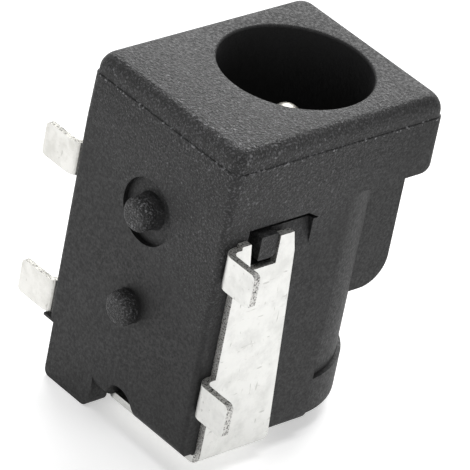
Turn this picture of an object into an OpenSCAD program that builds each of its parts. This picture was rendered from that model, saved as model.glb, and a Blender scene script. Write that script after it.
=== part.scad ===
// Board-mounted DC barrel jack, lying type with side solder tabs.
// +Z is the plug axis, mouth up. The origin is where that axis meets the floor of the socket.
// The board lies against the face that looks along -Y, and the centre-pin plate is on the +X side.
// Every length is in millimetres.

/* [Housing] */
// Width of the moulded housing
body_w = 9; // [8.6:0.1:10]
// Length of the housing from its rear plane to the mouth
body_l = 14.5; // [14:0.1:16]
// Height of the plug axis above the board face
axis_h = 6.8; // [6.6:0.1:7.4]
// Height of the flange above the plug axis
flange_h = 4.45; // [4.3:0.05:4.8]
// Thickness of the front flange
flange_t = 3.5; // [3:0.1:3.8]
// Radius of the round barrel behind the flange
barrel_r = 4; // [3.8:0.05:4.1]
// Radius of the collar at the rear of the barrel
collar_r = 4.2; // [4.15:0.05:4.3]
// Length of the rear collar
collar_l = 1.7; // [1.2:0.1:2.2]
// Width of the crown block on top of the barrel
crown_w = 6.2; // [5.6:0.1:6.6]
// Wall between the socket floor and the back of the crown block
crown_wall = 0.75; // [0.5:0.05:1.5]
// Rounding of the crown block's rear top edge
crown_round = 1.3; // [0.8:0.1:1.6]

/* [Edges] */
// Rounding of the front edges
front_round = 0.35; // [0.2:0.05:0.6]
// Rounding of the upright edges
upright_round = 0.3; // [0.15:0.05:0.5]
// Rounding of the rear edge on the board side
heel_round = 0.7; // [0.3:0.05:0.8]
// Rounding of the rear corner of the side walls
shoulder_round = 0.4; // [0.2:0.05:0.6]
// Depth of the moulded cap in front of the parting line
cap_t = 0.95; // [0.7:0.05:1.4]
// Step by which the cap stands inside the flange
cap_step = 0.07; // [0.03:0.01:0.15]

/* [Socket] */
// Diameter of the socket bore
bore_d = 6.5; // [6.3:0.05:6.6]
// Depth of the socket from the mouth to its floor
bore_depth = 9; // [8.5:0.1:9.4]
// Lead-in chamfer round the mouth
mouth_lead = 0.12; // [0.05:0.01:0.25]
// Diameter of the centre pin
pin_d = 2; // [1.3:0.1:2.5]
// Distance of the pin's tip below the mouth
pin_setback = 2; // [1.6:0.1:3]
// Diameter of the pin's shank in the housing
shank_d = 1.6; // [1:0.1:2]
// Diameter of the riveted head behind the terminal
rivet_d = 2.4; // [2.1:0.1:2.8]
// Height of the riveted head
rivet_h = 0.35; // [0.2:0.05:0.5]

/* [Board face] */
// Diameter of the locating pegs
peg_d = 1.5; // [1.2:0.1:1.8]
// Height of the pegs above the board face
peg_h = 0.75; // [0.6:0.05:1.2]
// Distance between the two pegs
peg_pitch = 4.5; // [4:0.1:5]
// Distance of the front peg behind the mouth
peg_setback = 5.12; // [4.8:0.02:5.4]
// Diameter of the round recess about the front peg
recess_d = 2.9; // [2.4:0.1:3.4]
// Depth of that recess
recess_t = 0.25; // [0.15:0.05:0.35]
// Width of the rear foot
foot_w = 2.85; // [2:0.05:3]
// Thickness of the rear foot
foot_t = 1; // [0.8:0.05:1.2]
// Length by which the foot reaches behind the housing
foot_l = 1; // [0.7:0.05:1.3]
// Radius of the round notch in the rear edge
notch_r = 0.95; // [0.7:0.05:1.1]
// Sideways place of that notch
notch_x = 0.4; // [0.2:0.05:0.6]
// Depth by which the left wall is cut back near the rear
inset_t = 0.38; // [0.2:0.02:0.5]
// Length of that cut-back stretch
inset_l = 1.65; // [1.4:0.05:1.7]

/* [Centre pin terminal] */
// Thickness of the plated sheet
plate_t = 0.32; // [0.25:0.01:0.4]
// Distance of the plate's lower edge from the board face
plate_lift = 0.78; // [0.7:0.02:1]
// Height of the plate at its front end
plate_front_h = 2.95; // [2.7:0.05:3.2]
// Height of the plate at its rear end
plate_rear_h = 3.66; // [3.4:0.02:3.9]
// Distance of the fork's tips behind the mouth
fork_setback = 4.15; // [4:0.05:4.4]
// Depth of the fork
fork_depth = 1.3; // [1:0.05:1.5]
// Width of the fork's opening
fork_gap = 1.36; // [1.2:0.02:1.5]
// Width of the lower prong at the bottom of the fork
prong_w = 0.66; // [0.5:0.02:0.8]
// Radius of the terminal's eye about the pin
eye_r = 2; // [1.6:0.1:2.4]
// Distance of the free corner of the rear flap from the plug axis
flap_reach = 1.15; // [0.9:0.05:1.2]

/* [Solder tabs] */
// Width of each solder tab
tab_w = 1.55; // [1.2:0.05:1.7]
// Reach of the tabs from the plug axis
tab_reach = 6.55; // [6:0.05:7]
// Height of the tabs' soldering face below the board face
tab_drop = 0.02; // [0:0.01:0.1]
// Distance of the plate's front tab behind the mouth
tab_setback = 5.08; // [5:0.02:5.3]
// Distance between the plate's two tabs
tab_pitch = 6.2; // [6:0.05:6.4]
// Distance of the switch contact's tab behind the mouth
switch_setback = 5.32; // [5.1:0.02:5.5]
// Distance of the sleeve contact's tab behind the mouth
sleeve_setback = 12; // [11.8:0.05:12.1]
// Inner radius of the bends
bend_r = 0.28; // [0.2:0.02:0.34]

/* [Spring contacts] */
// Thickness of the spring strip
spring_t = 0.25; // [0.2:0.01:0.3]
// Width of the sleeve contact's leaf
leaf_w = 2; // [1.6:0.1:2.2]
// Height of the leaf's bump above the bore's wall
bump_h = 0.55; // [0.4:0.05:0.8]
// Distance of the bump behind the mouth
bump_setback = 7.7; // [7.4:0.1:8]
// Clearance about the contacts in their slots
slot_clear = 0.08; // [0.05:0.01:0.12]

/* [Hidden] */
$fn = 64;

seat_gap = 0.02;                        // air between two pieces that lie against each other
over = 0.5;                             // reach of a cut past the surface it opens
side_x = body_w / 2;
board_y = -axis_h;
mouth_z = bore_depth;
rear_z = bore_depth - body_l;
flange_z = mouth_z - flange_t;
foot_z = rear_z - foot_l;
foot_x = -side_x + inset_t;
bore_r = bore_d / 2;

// Front peg and rear peg, measured along the plug axis
peg_z = [mouth_z - peg_setback, mouth_z - peg_setback - peg_pitch];
peg_round = 0.35;
root_flare = 0.08;                      // the front peg's root is this much wider, inside its recess

// Centre-pin plate, drawn in the plane of the side wall as [y, z]
plate_x = side_x + seat_gap;
plate_y = board_y + plate_lift;
fork_z = mouth_z - fork_setback;
fork_y = plate_y + prong_w;
plate_tabs = [for (i = [0, 1]) mouth_z - tab_setback - i * tab_pitch];
tab_y = board_y - tab_drop;
fold_relief = bend_r + 0.05;
tab_corner = 0.22;
prong_taper = [0.22, 0.95];             // the upper prong narrows by the first over the second
prong_lead = 0.2;                       // slant of the lower prong's tip
flap_corner = 0.5;
eye_blend = 40;                         // angle at which the eye runs into the flap, in degrees

// Pocket and lug that guide the fork
pocket_t = 0.9;
pocket_side = 0.1;
slot_reach = 2.3;                       // how far the pocket runs on above the upper prong
slot_rise = 0.4;                        // height of the pocket above the fork's tips
slot_point = 0.6;                       // length of the pocket's slanted far end
ramp_t = 0.3;
ramp_w = 2;
ramp_lift = 0.2;
lug_l = 1.1;
lug_gap = 0.4;
lug_rise = 0.1;
lug_sink = 0.06;                        // the lug stays this far inside the plate's outer face
lug_corner = [0.05, 0.3, 0.05, 0.05];

// Rear foot, the thin ledge beside it, and the notch in the rear edge
foot_round = [0.3, 0.45];
ledge_reach = 0.65;
ledge_h = 0.8;
ledge_t = 0.12;
notch_depth = 1.2;
notch_lift = 0.1;

// Spring chamber below the bore
chamber_w = leaf_w + 0.6;
floor_t = 0.95;                         // wall between the chamber and the board face
chamber_floor = board_y + floor_t;
leaf_y = chamber_floor + seat_gap + spring_t / 2;
sleeve_z = mouth_z - sleeve_setback;
switch_z = mouth_z - switch_setback;
bump_z = mouth_z - bump_setback;
bump_y = -bore_r + bump_h - spring_t / 2;
chamber_z = [sleeve_z - tab_w / 2 - slot_clear, switch_z + tab_w / 2 + slot_clear];
pad_drop = 0.08;                        // depth of the switch pad below the bore's wall
pad_y = -bore_r - pad_drop - spring_t / 2;
pad_edge_z = switch_z - (tab_w - 0.1) / 2;
// The leaf runs down from its bump and passes just under the near edge of the switch pad
leaf_fall = (bump_y - pad_y + 1.25 * spring_t) / (pad_edge_z - bump_z);
leaf_overlap = 0.75;                    // reach of the leaf's tip over the switch pad
leaf_round = 0.6;
leaf_tip_z = pad_edge_z + leaf_overlap;
contact_x = -side_x - seat_gap - spring_t / 2;
spring_bend = 0.2 + spring_t / 2;       // bend radius at the middle of the strip

// ---------------------------------------------------------------- helpers

function unit(v) = v / norm(v);
function left_of(v) = [-v.y, v.x];
function turned(v, a) = [v.x * cos(a) - v.y * sin(a), v.x * sin(a) + v.y * cos(a)];
function cross2(a, b) = a.x * b.y - a.y * b.x;

// Offset arc round the corner b of the path a-b-c. off is to the left of the path.
function bend(a, b, c, r, off, steps = 8) =
    let (
        u = unit(b - a),
        v = unit(c - b),
        s = sign(cross2(u, v)),
        angle = acos(u * v),
        inward = left_of(u) * s,
        centre = b - u * r * tan(angle / 2) + inward * r
    )
    [for (i = [0 : steps]) centre - turned(inward, s * angle * i / steps) * (r - s * off)];

// One side of a strip that follows a path with bends of radius r
function strip_side(path, r, off) =
    let (last = len(path) - 1)
    concat(
        [path[0] + off * left_of(unit(path[1] - path[0]))],
        [for (i = [1 : 1 : last - 1]) each bend(path[i - 1], path[i], path[i + 1], r, off)],
        [path[last] + off * left_of(unit(path[last] - path[last - 1]))]
    );

function reversed(list) = [for (i = [len(list) - 1 : -1 : 0]) list[i]];

// Side view of a folded sheet strip of even thickness
module strip(path, t, r) {
    polygon(concat(strip_side(path, r, t / 2), reversed(strip_side(path, r, -t / 2))));
}

// Extrudes a [y, z] drawing along X from x0 to x1
module along_x(x0, x1) {
    translate([x0, 0, 0]) rotate([90, 0, 90]) linear_extrude(x1 - x0) children();
}

// Extrudes an [x, z] drawing along Y from y0 to y1
module along_y(y0, y1) {
    translate([0, y1, 0]) rotate([90, 0, 0]) linear_extrude(y1 - y0) children();
}

// Extrudes an [x, y] drawing along Z from z0 to z1
module along_z(z0, z1) {
    translate([0, 0, z0]) linear_extrude(z1 - z0) children();
}

// Rectangle between two corners with its own radius at each corner,
// in the order low-low, high-low, high-high, low-high
module soft_rect(low, high, r) {
    at = [[low.x, low.y], [high.x, low.y], [high.x, high.y], [low.x, high.y]];
    into = [[1, 1], [-1, 1], [-1, -1], [1, -1]];
    difference() {
        translate(low) square(high - low);
        for (i = [0 : 3]) if (r[i] > 0) translate(at[i] - into[i] * 0.1) difference() {
            translate([min(0, into[i].x), min(0, into[i].y)] * (r[i] + 0.1)) square(r[i] + 0.1);
            translate(into[i] * (r[i] + 0.1)) circle(r[i]);
        }
    }
}

// ---------------------------------------------------------------- housing

module flange_block(inset, z0, z1, front) {
    x = side_x - inset;
    y0 = board_y + inset;
    y1 = flange_h - inset;
    u = upright_round;
    intersection() {
        along_z(z0, z1) soft_rect([-x, y0], [x, y1], [u, u, u, u]);
        along_x(-x, x) soft_rect([y0, z0], [y1, z1], [0, 0, front, front]);
        along_y(y0, y1) soft_rect([-x, z0], [x, z1], [0, 0, front, front]);
    }
}

module base_block() {
    u = upright_round;
    intersection() {
        along_z(rear_z, flange_z) soft_rect([-side_x, board_y], [side_x, 0], [u, u, 0, 0]);
        along_x(-side_x, side_x)
            soft_rect([board_y, rear_z], [0, flange_z], [heel_round, shoulder_round, 0, 0]);
        // the rear corners are rounded enough for the plate's fold to pass round them
        along_y(board_y, 0)
            soft_rect([-side_x, rear_z], [side_x, flange_z], [fold_relief, fold_relief, 0, 0]);
    }
}

module barrel() {
    translate([0, 0, rear_z]) cylinder(h = flange_z - rear_z, r = barrel_r);
    translate([0, 0, rear_z]) cylinder(h = collar_l, r = collar_r);
    along_x(-crown_w / 2, crown_w / 2)
        soft_rect([0, -crown_wall], [flange_h, flange_z], [0, crown_round, 0, 0]);
}

module pegs() {
    for (z = peg_z) translate([0, board_y + recess_t, z]) rotate([90, 0, 0]) {
        cylinder(h = peg_h + recess_t - peg_round, r = peg_d / 2);
        translate([0, 0, peg_h + recess_t - peg_round]) rotate_extrude() intersection() {
            square([peg_d / 2, peg_round]);
            union() {
                square([peg_d / 2 - peg_round, peg_round]);
                translate([peg_d / 2 - peg_round, 0]) circle(peg_round);
            }
        }
    }
    // root of the front peg
    translate([0, board_y + recess_t, peg_z[0]]) rotate([90, 0, 0])
        cylinder(h = recess_t, r1 = peg_d / 2 + root_flare, r2 = peg_d / 2);
}

module foot() {
    along_y(board_y, board_y + foot_t)
        soft_rect([foot_x, foot_z], [foot_x + foot_w, rear_z + heel_round],
            [foot_round[0], foot_round[1], 0, 0]);
    // thin ledge under the sleeve contact's tab
    translate([foot_x - ledge_reach, board_y, rear_z + inset_l - ledge_t])
        cube([ledge_reach + inset_t / 2, ledge_h, ledge_t]);
}

module socket() {
    cylinder(h = bore_depth + over, r = bore_r);
    translate([0, 0, mouth_z - mouth_lead])
        cylinder(h = mouth_lead + 0.001, r1 = bore_r, r2 = bore_r + mouth_lead);
    // hole that the pin's shank is pressed through
    translate([0, 0, rear_z - over]) cylinder(h = over - rear_z + 1, r = shank_d / 2 + seat_gap);
}

module spring_chamber() {
    translate([-chamber_w / 2, chamber_floor, chamber_z[0]])
        cube([chamber_w, -chamber_floor - bore_r / 2, chamber_z[1] - chamber_z[0]]);
    // slots through the left wall for the two contacts
    for (s = [[leaf_y, sleeve_z], [pad_y, switch_z]])
        translate([0, s[0] - spring_t / 2 - slot_clear, s[1] - tab_w / 2 - slot_clear]) {
            translate([-side_x - over, 0, 0])
                cube([side_x + over, spring_t + 2 * slot_clear, tab_w + 2 * slot_clear]);
            // relief at the slot's mouth, where the strip turns down the wall
            translate([-side_x - over, -spring_bend / 2, 0])
                cube([spring_bend + over, spring_bend, tab_w + 2 * slot_clear]);
        }
}

module fork_pocket() {
    y0 = fork_y - pocket_side;
    y1 = fork_y + fork_gap;
    z0 = fork_z - fork_depth;
    tip = fork_z + pocket_side / 2;
    top = fork_z + slot_rise;
    // deep pocket behind the fork's opening, running on above the prongs
    along_x(side_x - pocket_t, side_x + over) polygon([
        [y0, z0],
        [y1, z0],
        [y1, tip],
        [y1 + slot_reach, tip],
        [y1 + slot_reach - slot_point, top],
        [y0, top]
    ]);
    // shallow ramp beside the upper prong
    along_y(y1, y1 + ramp_w) polygon([
        [side_x, z0 + ramp_lift],
        [side_x - ramp_t, tip + pocket_side],
        [side_x + over, tip + pocket_side],
        [side_x + over, z0 + ramp_lift]
    ]);
}

module lug() {
    y0 = fork_y + lug_gap;
    y1 = fork_y + fork_gap - pocket_side / 2;
    z1 = fork_z + lug_rise;
    along_x(side_x - pocket_t - pocket_side, side_x + plate_t - lug_sink)
        soft_rect([y0, z1 - lug_l], [y1, z1], lug_corner);
}

module housing() {
    color("#1d1d1e") {
        difference() {
            union() {
                flange_block(0, flange_z, mouth_z - cap_t, 0);
                flange_block(cap_step, mouth_z - cap_t - 0.01, mouth_z, front_round);
                base_block();
                barrel();
            }
            socket();
            spring_chamber();
            fork_pocket();
            // cut-back stretch of the left wall
            translate([-side_x - over, board_y - over, rear_z - over])
                cube([inset_t + over, axis_h + over, inset_l + over]);
            // round recess about the front peg
            translate([0, board_y + recess_t, peg_z[0]]) rotate([90, 0, 0])
                cylinder(h = recess_t + over, r = recess_d / 2);
            // round notch in the rear edge of the board wall
            translate([notch_x, board_y + notch_depth, rear_z + notch_lift]) rotate([90, 0, 0])
                cylinder(h = notch_depth + over, r = notch_r);
        }
        pegs();
        foot();
        lug();
    }
}

// ---------------------------------------------------------------- centre pin

module centre_pin() {
    r = pin_d / 2;
    tip_z = mouth_z - pin_setback;
    flap_z = rear_z - seat_gap - plate_t;
    color("#c9c6bd") {
        cylinder(h = tip_z - r, r = r);
        translate([0, 0, tip_z - r]) sphere(r);
        translate([0, 0, flap_z - seat_gap]) cylinder(h = seat_gap - flap_z, r = shank_d / 2);
        translate([0, 0, flap_z - seat_gap - rivet_h])
            cylinder(h = rivet_h, r1 = rivet_d / 2 - rivet_h, r2 = rivet_d / 2);
    }
}

// ---------------------------------------------------------------- terminals

// A tab in plan, from x0 outwards to its reach, with clipped outer corners
module tab_outline(x0, z) {
    c = tab_corner;
    soft_rect([x0, z - tab_w / 2], [tab_reach, z + tab_w / 2], [0, c, c, 0]);
}

module plate() {
    z0 = rear_z - seat_gap + bend_r;
    rise = plate_y + plate_rear_h;
    fork_top = plate_y + plate_front_h;
    along_x(plate_x, plate_x + plate_t) polygon([
        [plate_y, z0],
        [rise, z0],
        [fork_top, fork_z - prong_taper[1]],
        [fork_top - prong_taper[0], fork_z],
        [fork_y + fork_gap, fork_z],
        [fork_y + fork_gap, fork_z - fork_depth],
        [fork_y, fork_z - fork_depth],
        [fork_y - prong_lead, fork_z],
        [plate_y, fork_z]
    ]);
}

module plate_tab(z) {
    centre_x = plate_x + plate_t / 2;
    centre_y = tab_y + plate_t / 2;
    intersection() {
        along_z(z - tab_w / 2, z + tab_w / 2)
            strip([[centre_x, plate_y + 0.01], [centre_x, centre_y], [tab_reach, centre_y]],
                plate_t, bend_r + plate_t / 2);
        along_y(tab_y - over, plate_y + over) tab_outline(plate_x - over, z);
    }
}

module rear_flap() {
    flap_z = rear_z - seat_gap - plate_t;
    rise = plate_y + plate_rear_h;
    centre_x = plate_x + plate_t / 2;
    centre_z = flap_z + plate_t / 2;
    bend_x = plate_x - bend_r;
    // the fold round the rear corner of the housing
    along_y(plate_y, rise)
        strip([[centre_x, rear_z - seat_gap + bend_r + 0.01], [centre_x, centre_z], [bend_x - 0.01, centre_z]],
            plate_t, bend_r + plate_t / 2);
    // the flat part with the eye that holds the pin
    difference() {
        along_z(flap_z, flap_z + plate_t) {
            soft_rect([-flap_reach, plate_y], [bend_x, rise], [flap_corner, 0, 0, 0]);
            polygon([
                [bend_x, rise],
                [eye_r * cos(eye_blend), eye_r * sin(eye_blend)],
                [-eye_r, 0],
                [-flap_reach, rise]
            ]);
            circle(eye_r);
        }
        translate([0, 0, flap_z - over]) cylinder(h = plate_t + 2 * over, r = shank_d / 2 + seat_gap);
    }
}

module pin_terminal() {
    color("#dcdbd7") {
        plate();
        for (z = plate_tabs) plate_tab(z);
        rear_flap();
    }
}

// A contact's outer part: it leaves its slot at height y, turns down the wall and out to a tab
module contact_tab(y, z, x_in) {
    centre_y = tab_y + spring_t / 2;
    intersection() {
        along_z(z - tab_w / 2, z + tab_w / 2)
            strip([[x_in, y], [contact_x, y], [contact_x, centre_y], [-tab_reach, centre_y]],
                spring_t, spring_bend);
        along_y(tab_y - over, over) mirror([1, 0]) tab_outline(-side_x, z);
    }
}

module sleeve_contact() {
    base_z = sleeve_z - tab_w / 2;
    color("#d2cdbf") {
        contact_tab(leaf_y, sleeve_z, leaf_w / 2);
        along_x(-leaf_w / 2, leaf_w / 2)
            strip([
                [leaf_y, base_z],
                [leaf_y, base_z + tab_w + 0.1],
                [bump_y, bump_z],
                [bump_y - leaf_fall * (leaf_tip_z - bump_z), leaf_tip_z]
            ], spring_t, 0.6);
    }
}

module switch_contact() {
    color("#d2cdbf") contact_tab(pad_y, switch_z, leaf_w / 2);
}

housing();
centre_pin();
pin_terminal();
sleeve_contact();
switch_contact();
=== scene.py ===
# %% [markdown]
# # A DC barrel jack
# This lesson dresses a small power socket: a black moulded housing, a nickel-plated centre pin,
# and three pieces of plated sheet that carry the current out to the circuit board.
# The solids come from the CAD model and are never moved. Two of them get a softer skin here, and
# all of them get their finishes, a floor, soft light and a camera.

# %% Load the model
import bmesh
import bpy
import math
from mathutils import Matrix, Vector


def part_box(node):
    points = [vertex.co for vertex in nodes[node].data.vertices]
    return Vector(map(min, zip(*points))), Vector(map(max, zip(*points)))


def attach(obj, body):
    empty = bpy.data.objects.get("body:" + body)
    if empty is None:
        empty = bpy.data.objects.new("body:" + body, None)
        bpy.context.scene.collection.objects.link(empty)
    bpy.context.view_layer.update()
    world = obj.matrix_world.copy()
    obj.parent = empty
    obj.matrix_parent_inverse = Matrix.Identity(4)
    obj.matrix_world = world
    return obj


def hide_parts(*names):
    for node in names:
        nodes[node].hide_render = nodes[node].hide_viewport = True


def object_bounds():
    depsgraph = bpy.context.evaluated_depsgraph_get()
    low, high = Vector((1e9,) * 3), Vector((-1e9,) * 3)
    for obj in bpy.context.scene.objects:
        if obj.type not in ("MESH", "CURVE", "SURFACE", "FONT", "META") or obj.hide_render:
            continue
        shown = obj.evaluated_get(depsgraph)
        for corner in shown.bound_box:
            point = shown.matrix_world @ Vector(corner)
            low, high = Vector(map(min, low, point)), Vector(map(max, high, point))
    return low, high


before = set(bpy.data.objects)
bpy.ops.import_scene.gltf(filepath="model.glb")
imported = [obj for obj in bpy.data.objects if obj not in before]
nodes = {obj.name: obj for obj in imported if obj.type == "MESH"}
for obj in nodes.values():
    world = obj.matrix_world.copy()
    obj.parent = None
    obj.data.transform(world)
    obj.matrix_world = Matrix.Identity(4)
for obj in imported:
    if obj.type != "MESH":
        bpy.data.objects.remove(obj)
cad_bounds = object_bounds()
MM = 0.001
print("CAD nodes:", ", ".join(sorted(nodes)))

# %% [markdown]
# ## Colour and shader helpers
# Colours are written as the hex values that a paint program shows. The shader works with linear
# light, so one function turns them. One more function adds a node, sets it and links it, which
# keeps each material short enough to read from top to bottom.

# %% Hex colour or grey to linear
def linear(colour):
    """A hex value is turned to linear light. A plain number is a grey that is linear already."""
    if not isinstance(colour, str):
        return [colour, colour, colour, 1.0]
    values = [int(colour[i:i + 2], 16) / 255 for i in (1, 3, 5)]
    return [v / 12.92 if v <= 0.04045 else ((v + 0.055) / 1.055) ** 2.4 for v in values] + [1.0]


# %% Add a node with its settings and links
def add(tree, kind, links=None, stops=(), **values):
    """Values starting with a capital letter are sockets, the rest are the node's own settings.
    A socket's name is written with _ for a space. links maps a socket, by name or by number, to
    what it takes: an output, a node (its first output) or a plain value. stops are the two
    (position, colour) pairs of a colour ramp."""
    node = tree.nodes.new(kind)
    for key, value in values.items():
        if key[0].isupper():
            node.inputs[key.replace("_", " ")].default_value = value
        else:
            setattr(node, key, value)
    for key, taken in (links or {}).items():
        socket = node.inputs[key if isinstance(key, int) else key.replace("_", " ")]
        if isinstance(taken, bpy.types.Node):
            taken = taken.outputs[0]
        if isinstance(taken, bpy.types.NodeSocket):
            tree.links.new(taken, socket)
        else:
            socket.default_value = taken
    for i, (position, colour) in enumerate(stops):
        node.color_ramp.elements[i].position = position
        node.color_ramp.elements[i].color = linear(colour)
    return node


# %% The kinds of node used most often
MATH = "ShaderNodeMath"
VECTOR = "ShaderNodeVectorMath"
NOISE = "ShaderNodeTexNoise"
RAMP = "ShaderNodeValToRGB"
BLEND = "ShaderNodeMixRGB"
PARTS = "ShaderNodeSeparateXYZ"
TIMES = {"operation": "MULTIPLY", "use_clamp": True}
PLUS = {"operation": "ADD", "use_clamp": True}
ABOVE = {"operation": "GREATER_THAN", "use_clamp": True}
BELOW = {"operation": "LESS_THAN", "use_clamp": True}
SIZE_OF = {"operation": "ABSOLUTE"}


# %% Start a material, and finish it
def new_material(name):
    material = bpy.data.materials.new(name)
    material.use_nodes = True
    tree = material.node_tree
    tree.nodes.clear()
    place = add(tree, "ShaderNodeTexCoord").outputs["Object"]
    return material, tree, place


def finish_material(tree, shader):
    add(tree, "ShaderNodeOutputMaterial", {"Surface": shader})


# %% [markdown]
# ## Black housing plastic
# The housing is moulded in one shot from a heat-resistant black resin, usually PBT with glass
# fibre. The mould was spark-eroded, which leaves a fine pebbled grain: each pebble is about
# 0.1 mm across. On the real part each one catches the light as a tiny bright speck. Here the
# crests are painted light-grey, partly as wear and partly as painted highlight, and a few facets
# are painted bright as painted glints. The grain is strongest towards the terminal side of the
# mouth and smooths out towards the rear. The bore is polished, and the ends of the pegs are rough.

# %% Sizes of the housing's grain
PEBBLE = 0.13 * MM      # one pebble of the eroded mould, drawn a little coarser than real to show
CREST = 0.085 * MM      # the paler crests of the pebbles: partly wear, partly painted highlight
CLOUD = 2.5 * MM        # soft cloudiness of the resin
SPECK = 0.09 * MM       # size of the painted glints, and of the crumbs of flash along the parting line: tiny facets painted bright as if they faced the lamp
RELIEF = 0.19 * MM      # how far the pebbles stand out, drawn deeper than real to show
PARTING = 8.03 * MM     # height of the parting line
FLASH = 0.07 * MM       # half the width of the crumbs of flash along it
POLISHED = 3.3 * MM     # distance from the plug axis within which the surface is polished
PEG_END = -6.95 * MM    # the rough ends of the pegs lie beyond this, on the board side
PEG_GRAIN = 0.6
FRESH = (55, -70, 100)  # way in which the grain gets stronger, per metre
WORN, CRISP = 0.70, 1.62    # where on that scale the grain is faintest and strongest
FAINTEST = 0.05
MATT = 0.14             # how much rougher the resin is where it has no grain


# %% Where the grain is strong
def grain_strength(tree, place, outside):
    fresh = add(tree, VECTOR, {0: place, 1: FRESH}, operation="DOT_PRODUCT").outputs["Value"]
    worn_off = add(tree, "ShaderNodeMapRange", {"Value": fresh}, From_Min=WORN, From_Max=CRISP,
                   To_Min=FAINTEST, To_Max=1.0)
    depth = add(tree, PARTS, {"Vector": place}).outputs["Y"]
    beyond = add(tree, MATH, {0: depth, 1: PEG_END}, **BELOW)
    pegs = add(tree, MATH, {0: beyond, 1: PEG_GRAIN}, **TIMES)
    both = add(tree, MATH, {0: worn_off, 1: pegs}, **PLUS)
    return add(tree, MATH, {0: both, 1: outside}, **TIMES)


# %% Crumbs of flash left along the parting line
def flash_line(tree, place, outside, facets):
    height = add(tree, PARTS, {"Vector": place}).outputs["Z"]
    away = add(tree, MATH, {0: height, 1: PARTING}, operation="SUBTRACT")
    near = add(tree, MATH, {0: add(tree, MATH, {0: away}, **SIZE_OF), 1: FLASH}, **BELOW)
    line = add(tree, MATH, {0: near, 1: outside}, **TIMES)
    crumbs = add(tree, RAMP, {"Fac": facets}, [(0.76, 0.0), (0.82, 1.0)])
    return add(tree, MATH, {0: crumbs, 1: line}, **TIMES)


# %% Housing plastic
def moulded_pbt():
    material, tree, place = new_material("black_glass_filled_pbt")
    flat = add(tree, VECTOR, {0: place, 1: (1, 1, 0)}, operation="MULTIPLY")
    reach = add(tree, VECTOR, {0: flat}, operation="LENGTH").outputs["Value"]
    outside = add(tree, MATH, {0: reach, 1: POLISHED}, **ABOVE)
    strength = grain_strength(tree, place, outside)
    pebbles = add(tree, NOISE, {"Vector": place}, Scale=1 / PEBBLE, Detail=2.0, Roughness=0.7)
    crests = add(tree, NOISE, {"Vector": place}, Scale=1 / CREST, Detail=1.0)
    cloud = add(tree, NOISE, {"Vector": place}, Scale=1 / CLOUD, Detail=2.0, Roughness=0.5)
    facets = add(tree, "ShaderNodeTexVoronoi", {"Vector": place}, Scale=1 / SPECK).outputs["Color"]
    height = add(tree, MATH, {0: pebbles, 1: strength}, **TIMES)
    grain = add(tree, "ShaderNodeBump", {"Height": height}, Strength=1.0, Distance=RELIEF)
    # light-grey crests on dark resin, partly wear and partly painted highlight, and on them the few
    # facets painted bright as painted glints
    resin = add(tree, RAMP, {"Fac": cloud}, [(0.35, "#121212"), (0.65, "#171718")])
    peaks = add(tree, RAMP, {"Fac": crests}, [(0.54, 0.0), (0.66, 1.0)])
    # painted highlight on the crests, mixed with wear, stronger where the grain is strong
    crest_sheen_and_wear = add(tree, MATH, {0: peaks, 1: strength}, **TIMES)
    crested = add(tree, BLEND, {"Fac": crest_sheen_and_wear, "Color1": resin}, Color2=linear("#646466"))
    # painted glints: a few facets are painted bright, as if they caught the lamp
    glint_facets = add(tree, RAMP, {"Fac": facets}, [(0.86, 0.0), (0.93, 0.8)])
    painted_glints = add(tree, MATH, {0: glint_facets, 1: strength}, **TIMES)
    glints_and_flash_crumbs = add(tree, MATH, {0: painted_glints, 1: flash_line(tree, place, outside, facets)}, **PLUS)
    # the painted glints and the crumbs of flash share one light-grey colour
    colour = add(tree, BLEND, {"Fac": glints_and_flash_crumbs, "Color1": crested}, Color2=linear("#8c8c8e"))
    # the crests are glossier than the hollows, and resin without grain is the most matt
    gloss = add(tree, RAMP, {"Fac": pebbles}, [(0.35, 0.62), (0.7, 0.36)])
    smooth_part = add(tree, MATH, {0: 1.0, 1: strength}, operation="SUBTRACT", use_clamp=True)
    matt = add(tree, MATH, {0: smooth_part, 1: MATT}, **TIMES)
    rough = add(tree, MATH, {0: gloss, 1: matt}, **PLUS)
    shader = add(tree, "ShaderNodeBsdfPrincipled",
                 {"Base_Color": colour, "Roughness": rough, "Normal": grain}, IOR=1.5)
    finish_material(tree, shader)
    return material


# %% [markdown]
# ## Tin-plated sheet
# The terminal is punched from brass or phosphor-bronze strip about 0.3 mm thick that was tinned
# before it was cut. Tin is almost white, only half bright, and soft, so it shows hair scratches
# from handling and faint dents. The cut edges were sheared: they are torn, with dark pits, and
# rougher than the faces.

# %% Which faces are sheared
SQUARELY = 0.72         # how squarely a face must look along an axis to count as one of its ends
TAB_TIP = 6.4 * MM      # the tips of the tabs lie beyond this, to either side
FLAP_FOLD = -5.15 * MM  # behind this the rear flap begins
TAB_FOLD = -6.08 * MM   # above this lie the folds of the tabs
PLATE_OUT = 4.45 * MM   # beyond this the plate has folded out into a tab
FLAP_BACK = -5.54 * MM  # rear face of the flap
FLAP_END = 4.2 * MM     # the flap's own edges lie within this


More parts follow.
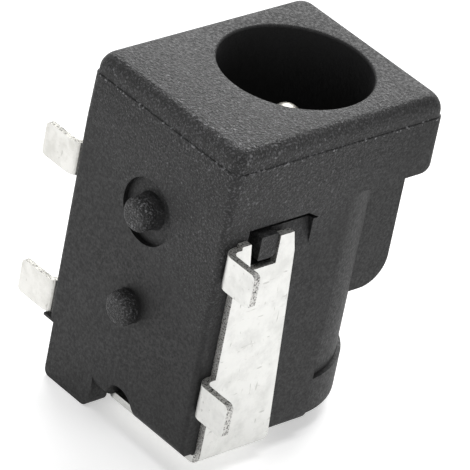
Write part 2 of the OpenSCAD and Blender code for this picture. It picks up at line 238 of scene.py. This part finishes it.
def sheared_edges(tree, place, plate):
    """1 on the cut edges of a folded strip and 0 on its rolled faces."""
    normal = add(tree, "ShaderNodeNewGeometry").outputs["True Normal"]
    facing = add(tree, PARTS, {"Vector": normal})
    along = [add(tree, MATH, {0: facing.outputs[axis]}, **SIZE_OF) for axis in "XYZ"]
    looks_x, looks_y, looks_z = (add(tree, MATH, {0: way, 1: SQUARELY}, **ABOVE) for way in along)
    spot = add(tree, PARTS, {"Vector": place})
    x, y, z = (spot.outputs[axis] for axis in "XYZ")
    to_side = add(tree, MATH, {0: x}, **SIZE_OF)
    far_out = add(tree, MATH, {0: to_side, 1: TAB_TIP}, **ABOVE)
    tip = add(tree, MATH, {0: looks_x, 1: far_out}, **TIMES)
    if not plate:
        return add(tree, MATH, {0: looks_z, 1: tip}, **PLUS)
    front = add(tree, MATH, {0: z, 1: FLAP_FOLD}, **ABOVE)
    side = add(tree, MATH, {0: looks_z, 1: front}, **TIMES)
    # faces that look up or down, above the folds of the tabs and outside the plate
    over_fold = add(tree, MATH, {0: y, 1: TAB_FOLD}, **ABOVE)
    level = add(tree, MATH, {0: looks_y, 1: over_fold}, **TIMES)
    upper = add(tree, MATH, {0: level, 1: add(tree, MATH, {0: x, 1: PLATE_OUT}, **ABOVE)}, **TIMES)
    at_back = add(tree, MATH, {0: z, 1: FLAP_BACK}, **BELOW)
    behind = add(tree, MATH, {0: looks_x, 1: at_back}, **TIMES)
    inner = add(tree, MATH, {0: behind, 1: add(tree, MATH, {0: x, 1: FLAP_END}, **BELOW)}, **TIMES)
    ends = add(tree, MATH, {0: tip, 1: side}, **PLUS)
    folds = add(tree, MATH, {0: upper, 1: inner}, **PLUS)
    return add(tree, MATH, {0: ends, 1: folds}, **PLUS)


# %% Hair scratches: two noises, stretched different ways and kept only at their peaks
HAIRLINE = 0.15 * MM    # drawn wider than real, so that they show
LAY = ((0.6, (1, 0.22, 1)), (-0.9, (1, 1, 0.25)))   # turn and stretch of each set


def hair_scratches(tree, place):
    marks = []
    for turn, stretch in LAY:
        streak = add(tree, "ShaderNodeMapping", {"Vector": place}, Scale=stretch,
                     Rotation=(turn, 0, turn))
        noise = add(tree, NOISE, {"Vector": streak}, Scale=1 / HAIRLINE, Detail=2.0, Roughness=0.5)
        marks.append(add(tree, RAMP, {"Fac": noise}, [(0.68, 0.0), (0.74, 1.0)]))
    return add(tree, MATH, {0: marks[0], 1: marks[1]}, **PLUS)


# %% Tinned sheet
DENT = 0.5 * MM
SMUT = 1.1 * MM         # grey bloom of old tin
BURR = 0.07 * MM        # tear marks on the sheared edge
TORN = 0.15             # how much rougher a sheared edge is than a face


def tinned_sheet(name, face, shade, edge, plate):
    material, tree, place = new_material(name)
    scratches = hair_scratches(tree, place)
    dents = add(tree, NOISE, {"Vector": place}, Scale=1 / DENT, Detail=3.0, Roughness=0.6)
    smut = add(tree, NOISE, {"Vector": place}, Scale=1 / SMUT, Detail=4.0, Roughness=0.7)
    tears = add(tree, NOISE, {"Vector": place}, Scale=1 / BURR, Detail=2.0)
    cut = sheared_edges(tree, place, plate)
    scored = add(tree, MATH, {0: scratches, 1: 0.5}, **TIMES)
    ground = add(tree, MATH, {0: dents, 1: scored}, operation="SUBTRACT")
    height = add(tree, "ShaderNodeMix", {0: cut, 2: ground, 3: tears})
    skin = add(tree, "ShaderNodeBump", {"Height": height}, Strength=0.4, Distance=0.05 * MM)
    bloom = add(tree, RAMP, {"Fac": smut}, [(0.36, shade), (0.56, face)])
    faint = add(tree, MATH, {0: scratches, 1: 0.35}, **TIMES)
    marked = add(tree, BLEND, {"Fac": faint, "Color1": bloom}, Color2=linear("#86857f"))
    torn = add(tree, RAMP, {"Fac": tears}, [(0.34, "#403f3d"), (0.52, edge)])
    colour = add(tree, BLEND, {"Fac": cut, "Color1": marked, "Color2": torn})
    sheen = add(tree, RAMP, {"Fac": dents}, [(0.3, 0.46), (0.7, 0.34)])
    gloss = add(tree, MATH, {0: sheen, 1: add(tree, MATH, {0: cut, 1: TORN}, **TIMES)}, **PLUS)
    shader = add(tree, "ShaderNodeBsdfPrincipled",
                 {"Base_Color": colour, "Roughness": gloss, "Normal": skin}, Metallic=1.0)
    finish_material(tree, shader)
    return material


# %% [markdown]
# ## Nickel-plated pin
# The pin is turned from brass on an automatic lathe and nickel plated, so it is bright, slightly
# warm, and has fine rings round its axis.

# %% Pin metal
RING = 0.04 * MM


def nickelled_brass():
    material, tree, place = new_material("nickel_plated_brass")
    along = add(tree, "ShaderNodeMapping", {"Vector": place}, Scale=(0.02, 0.02, 1))
    rings = add(tree, NOISE, {"Vector": along}, Scale=1 / RING, Detail=2.0)
    skin = add(tree, "ShaderNodeBump", {"Height": rings}, Strength=0.15, Distance=0.01 * MM)
    colour = add(tree, RAMP, {"Fac": rings}, [(0.3, "#cfccc4"), (0.7, "#e6e3db")])
    shader = add(tree, "ShaderNodeBsdfPrincipled", {"Base_Color": colour, "Normal": skin},
                 Metallic=1.0, Roughness=0.42)
    finish_material(tree, shader)
    return material


# %% [markdown]
# ## The softened flange
# A moulded block has no sharp corners: the front of the flange rolls over into its sides, and the
# roll is deeper along the plug axis than across it. The CAD solid keeps a small plain fillet. So
# the flange is lofted again here, ring by ring, with the real roll, and takes the place of the
# solid's own: the housing is copied, cut off behind the flange, and joined to the new block.

# %% Sizes of the flange; its top and mouth are the housing's own
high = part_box("housing")[1]
SIDE = 4.5 * MM             # half the width; the box itself also holds the lug and the ledge
BOARD = -6.8 * MM           # board face; the pegs stand out beyond it
TOP = high[1]
MOUTH = high[2]
BACK = MOUTH - 3.5 * MM     # rear of the flange
BORE = 3.25 * MM
LEAD = 0.12 * MM
CAP = 0.95 * MM             # from the mouth to the parting line
STEP = 0.05 * MM            # the cap stands this far inside the flange
ROLL = (0.5 * MM, 0.75 * MM)    # of the front edge, across and along the plug axis
REAR_ROLL = 0.3 * MM
TOP_CORNER = 0.45 * MM
BOARD_CORNER = 0.3 * MM     # at the rear of the flange
OPENS_BY = 0.15 * MM        # how much rounder that corner is at the cap
print("flange", round((TOP - BOARD) / MM, 2), "mm high,", round((MOUTH - BACK) / MM, 2), "mm thick")


# %% One ring of the flange: a rectangle with rounded corners
def ring(z, inset, top_inset, board_radius, top_radius, per_corner=8, per_side=18):
    x, y0, y1 = SIDE - inset, BOARD + inset, TOP - inset - top_inset
    corners = [(x, y1, top_radius, 0), (-x, y1, top_radius, 90),
               (-x, y0, board_radius, 180), (x, y0, board_radius, 270)]
    arcs = []
    for cx, cy, radius, start in corners:
        mid_x, mid_y = cx - math.copysign(radius, cx), cy - math.copysign(radius, cy)
        angles = [math.radians(start + 90 * i / per_corner) for i in range(per_corner + 1)]
        arcs.append([(mid_x + radius * math.cos(a), mid_y + radius * math.sin(a), z) for a in angles])
    points = []
    for arc, following in zip(arcs, arcs[1:] + arcs[:1]):
        points += arc
        ax, ay = arc[-1][:2]
        bx, by = following[0][:2]
        shares = [t / per_side for t in range(1, per_side)]
        points += [(ax + (bx - ax) * share, ay + (by - ay) * share, z) for share in shares]
    return points


def round_ring(like, radius, z):
    """A circle whose points stand on the same bearings as those of another ring."""
    bearings = [math.atan2(y, x) for x, y, _ in like]
    return [(radius * math.cos(a), radius * math.sin(a), z) for a in bearings]


# %% Loft the flange from its rings
def loft(rings):
    """A closed surface through the rings, the last joined to the first again."""
    shape = bmesh.new()
    rows = [[shape.verts.new(p) for p in points] for points in rings]
    count = len(rows[0])
    for row, following in zip(rows, rows[1:] + rows[:1]):
        for i in range(count):
            j = (i + 1) % count
            shape.faces.new((row[i], row[j], following[j], following[i]))
    bmesh.ops.recalc_face_normals(shape, faces=shape.faces)
    return shape


def board_radius(z):
    """The board-side corners open from the small rounding behind the flange to a rounder cap."""
    share = min(max((z - BACK) / (MOUTH - CAP - BACK), 0), 1)
    return BOARD_CORNER + OPENS_BY * share * share


rings = []
for i in range(7):
    a = math.radians(15 * i)
    z = BACK + REAR_ROLL * (1 - math.cos(a))
    rings.append(ring(z, 0, REAR_ROLL * (1 - math.sin(a)), board_radius(z), TOP_CORNER))
parting = MOUTH - CAP
rings.append(ring(parting - 0.04 * MM, 0, 0, board_radius(parting), TOP_CORNER))
rings.append(ring(parting, 0.02 * MM, 0, board_radius(parting), TOP_CORNER))
rings.append(ring(parting, STEP, 0, board_radius(parting), TOP_CORNER))
for i in range(11):
    a = math.radians(9 * i)
    z = MOUTH - ROLL[1] * (1 - math.sin(a))
    inset = STEP + ROLL[0] * (1 - math.cos(a))
    rings.append(ring(z, inset, 0, board_radius(z), TOP_CORNER))
face = rings[-1]
for i in range(5):
    a = math.radians(22.5 * i)
    rings.append(round_ring(face, BORE + LEAD * (1 - math.sin(a)), MOUTH - LEAD * (1 - math.cos(a))))
rings.append(round_ring(face, BORE, BACK))
flange_shape = loft(rings)
print("flange:", len(rings), "rings of", len(face), "points")


# %% A shape as an object, and one boolean after another
def as_object(name, shape):
    mesh = bpy.data.meshes.new(name)
    shape.to_mesh(mesh)
    shape.free()
    made = bpy.data.objects.new(name, mesh)
    bpy.context.scene.collection.objects.link(made)
    return made


def combine(target, tool, operation):
    step = target.modifiers.new(operation.lower(), "BOOLEAN")
    step.object, step.operation, step.solver = tool, operation, "EXACT"
    bpy.context.view_layer.update()
    result = bpy.data.meshes.new_from_object(target.evaluated_get(bpy.context.evaluated_depsgraph_get()))
    target.modifiers.clear()
    target.data = result
    bpy.data.objects.remove(tool)


def soften(made, edge_degrees=32):
    """Smooth shading that stops at the real edges. Normals stored with the copied mesh are dropped."""
    stored = made.data.attributes.get("custom_normal")
    if stored:
        made.data.attributes.remove(stored)
    made.data.polygons.foreach_set("use_smooth", [True] * len(made.data.polygons))
    made.data.set_sharp_from_angle(angle=math.radians(edge_degrees))
    made.data.update()


# %% Cut the old flange off and join the new one
copied = bmesh.new()
copied.from_mesh(nodes["housing"].data)
bmesh.ops.remove_doubles(copied, verts=copied.verts, dist=0.0005 * MM)
housing = as_object("moulded_housing", copied)
knife = bmesh.new()
bmesh.ops.create_cube(knife, size=20 * MM, matrix=Matrix.Translation((0, 0, BACK + 10 * MM)))
combine(housing, as_object("knife", knife), "DIFFERENCE")
combine(housing, as_object("flange", flange_shape), "UNION")
soften(housing)
check = bmesh.new()
check.from_mesh(housing.data)
open_edges = sum(1 for e in check.edges if not e.is_manifold)
volume = round(check.calc_volume() / MM ** 3, 1)
print("housing skin:", len(check.faces), "faces,", open_edges, "open edges, volume mm3", volume)
check.free()
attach(housing, "root")
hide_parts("housing")

# %% [markdown]
# ## The pin's nose
# A plug finds its pin by a bullet nose: the shaft narrows over its last millimetre and ends in a
# small round tip. It is turned, so it is made here by spinning its outline round the plug axis.

# %% Pin with a bullet nose
PIN = 1.0 * MM
TIP = 0.67 * MM             # radius of the round tip
TIP_AT = 6.53 * MM          # centre of the tip's sphere
TAPER_FROM = 5.7 * MM
TAIL = 0.8 * MM             # radius of the tail that goes through the housing's floor
HEAD, CROWNED = 1.2 * MM, 0.85 * MM     # radius of the riveted head, and of its flat end
HEAD_T = 0.35 * MM
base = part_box("centre_pin")[0][2]
outline = [(0.0, base), (CROWNED, base), (HEAD, base + HEAD_T), (TAIL, base + HEAD_T),
           (TAIL, 0.0), (PIN, 0.0), (PIN, TAPER_FROM)]
for i in range(15):
    a = math.radians(15 + 75 * i / 14)
    outline.append((TIP * math.cos(a), TIP_AT + TIP * math.sin(a)))
outline[-1] = (0.0, TIP_AT + TIP)


def spun(name, outline, turns=64):
    shape = bmesh.new()
    rows = [[shape.verts.new((r * math.cos(a), r * math.sin(a), z)) for r, z in outline]
            for a in (2 * math.pi * k / turns for k in range(turns))]
    for row, following in zip(rows, rows[1:] + rows[:1]):
        for i in range(len(outline) - 1):
            shape.faces.new((row[i], following[i], following[i + 1], row[i + 1]))
    bmesh.ops.remove_doubles(shape, verts=shape.verts, dist=0.0005 * MM)
    bmesh.ops.recalc_face_normals(shape, faces=shape.faces)
    return as_object(name, shape)


pin = spun("bullet_nosed_pin", outline)
soften(pin)
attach(pin, "root")
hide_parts("centre_pin")
print("pin ends", round((TIP_AT + TIP) / MM, 2), "mm above the socket floor")

# %% Dress the solids
def dress(node, material):
    for i in range(len(nodes[node].material_slots)):
        nodes[node].material_slots[i].material = material
    print(node, "is now", material.name)


housing.data.materials.clear()
housing.data.materials.append(moulded_pbt())
pin.data.materials.append(nickelled_brass())
dress("pin_terminal", tinned_sheet("tinned_brass_sheet", "#dcdcd9", "#cfcfcc", "#cfcecb", True))
spring = tinned_sheet("tinned_spring_strip", "#dad9d5", "#c9c8c3", "#a5a49f", False)
dress("sleeve_contact", spring)
dress("switch_contact", spring)

# %% [markdown]
# ## Floor, backdrop and light
# The jack stands on its foot on a plain white floor. A large soft lamp behind it on the left, and a
# weaker one straight overhead, give the even, almost shadowless light of a product table.

# %% White that the camera, the metal and any glass see
def seen_directly(tree):
    path = add(tree, "ShaderNodeLightPath")
    camera_ray, glossy_ray = path.outputs["Is Camera Ray"], path.outputs["Is Glossy Ray"]
    first = add(tree, MATH, {0: camera_ray, 1: glossy_ray}, **PLUS)
    return add(tree, MATH, {0: first, 1: path.outputs["Is Transmission Ray"]}, **PLUS)


# %% Floor
floor_z = cad_bounds[0][2]
bpy.ops.mesh.primitive_plane_add(size=0.6, location=(0, 0, floor_z))
floor = bpy.context.object
floor.name = "floor"
material, tree, place = new_material("white_paper")
paper = add(tree, "ShaderNodeBsdfDiffuse", Color=linear("#f4f4f4"))
glow = add(tree, "ShaderNodeEmission", Color=linear("#ffffff"), Strength=0.46)
both = add(tree, "ShaderNodeAddShader", {0: paper, 1: glow})
plain = add(tree, "ShaderNodeMixShader", {0: seen_directly(tree), 1: paper, 2: both})
finish_material(tree, plain)
floor.data.materials.append(material)

# %% World: a white backdrop low down, and a dim ceiling above it
world = bpy.data.worlds.new("studio")
bpy.context.scene.world = world
world.use_nodes = True
tree = world.node_tree
tree.nodes.clear()
around = add(tree, "ShaderNodeTexCoord").outputs["Generated"]
height = add(tree, PARTS, {"Vector": around}).outputs["Z"]
ceiling = add(tree, RAMP, {"Fac": height}, [(0.30, 1.0), (0.52, 0.30)])
dim = add(tree, "ShaderNodeBackground", Color=linear("#ffffff"), Strength=0.30)
white = add(tree, "ShaderNodeBackground", {"Color": ceiling}, Strength=1.0)
mix = add(tree, "ShaderNodeMixShader", {0: seen_directly(tree), 1: dim, 2: white})
add(tree, "ShaderNodeOutputWorld", {"Surface": mix})

# %% Lamps
def softbox(name, place, size, power):
    data = bpy.data.lights.new(name, "AREA")
    data.size = size
    data.energy = power
    lamp = bpy.data.objects.new(name, data)
    lamp.location = place
    lamp.rotation_euler = (-Vector(place)).to_track_quat("-Z", "Y").to_euler()
    bpy.context.scene.collection.objects.link(lamp)
    return lamp


softbox("behind_left", (-0.36, 0.38, 0.36), 0.46, 3.6)
softbox("overhead", (0.05, -0.02, 0.40), 0.14, 0.5)

# %% [markdown]
# ## Camera
# A long lens at about 0.2 m, a little above the mouth and to the right, with the camera rolled
# so that the jack leans to the left. The three axes of the camera are given directly.

# %% Camera
LENS = 369.2            # mm, on a sensor 36 mm wide
CAMERA_AT = Vector((115.72, -123.32, 103.81)) * MM
LOOKS = Vector((-0.5880, 0.6189, -0.5208)).normalized()
UP = Vector((-0.4967, 0.2319, 0.8364))
camera_data = bpy.data.cameras.new("camera")
camera_data.sensor_width = 36.0
camera_data.lens = LENS
camera_data.clip_start = 0.01
camera_data.clip_end = 5.0
camera = bpy.data.objects.new("camera", camera_data)
right = LOOKS.cross(UP).normalized()
up = right.cross(LOOKS).normalized()
turn = Matrix((right, up, -LOOKS)).transposed().to_4x4()
camera.matrix_world = Matrix.Translation(CAMERA_AT) @ turn
bpy.context.scene.collection.objects.link(camera)
bpy.context.scene.camera = camera
bpy.context.scene.view_settings.view_transform = "Standard"
print("camera stands", round(CAMERA_AT.length / MM), "mm away")
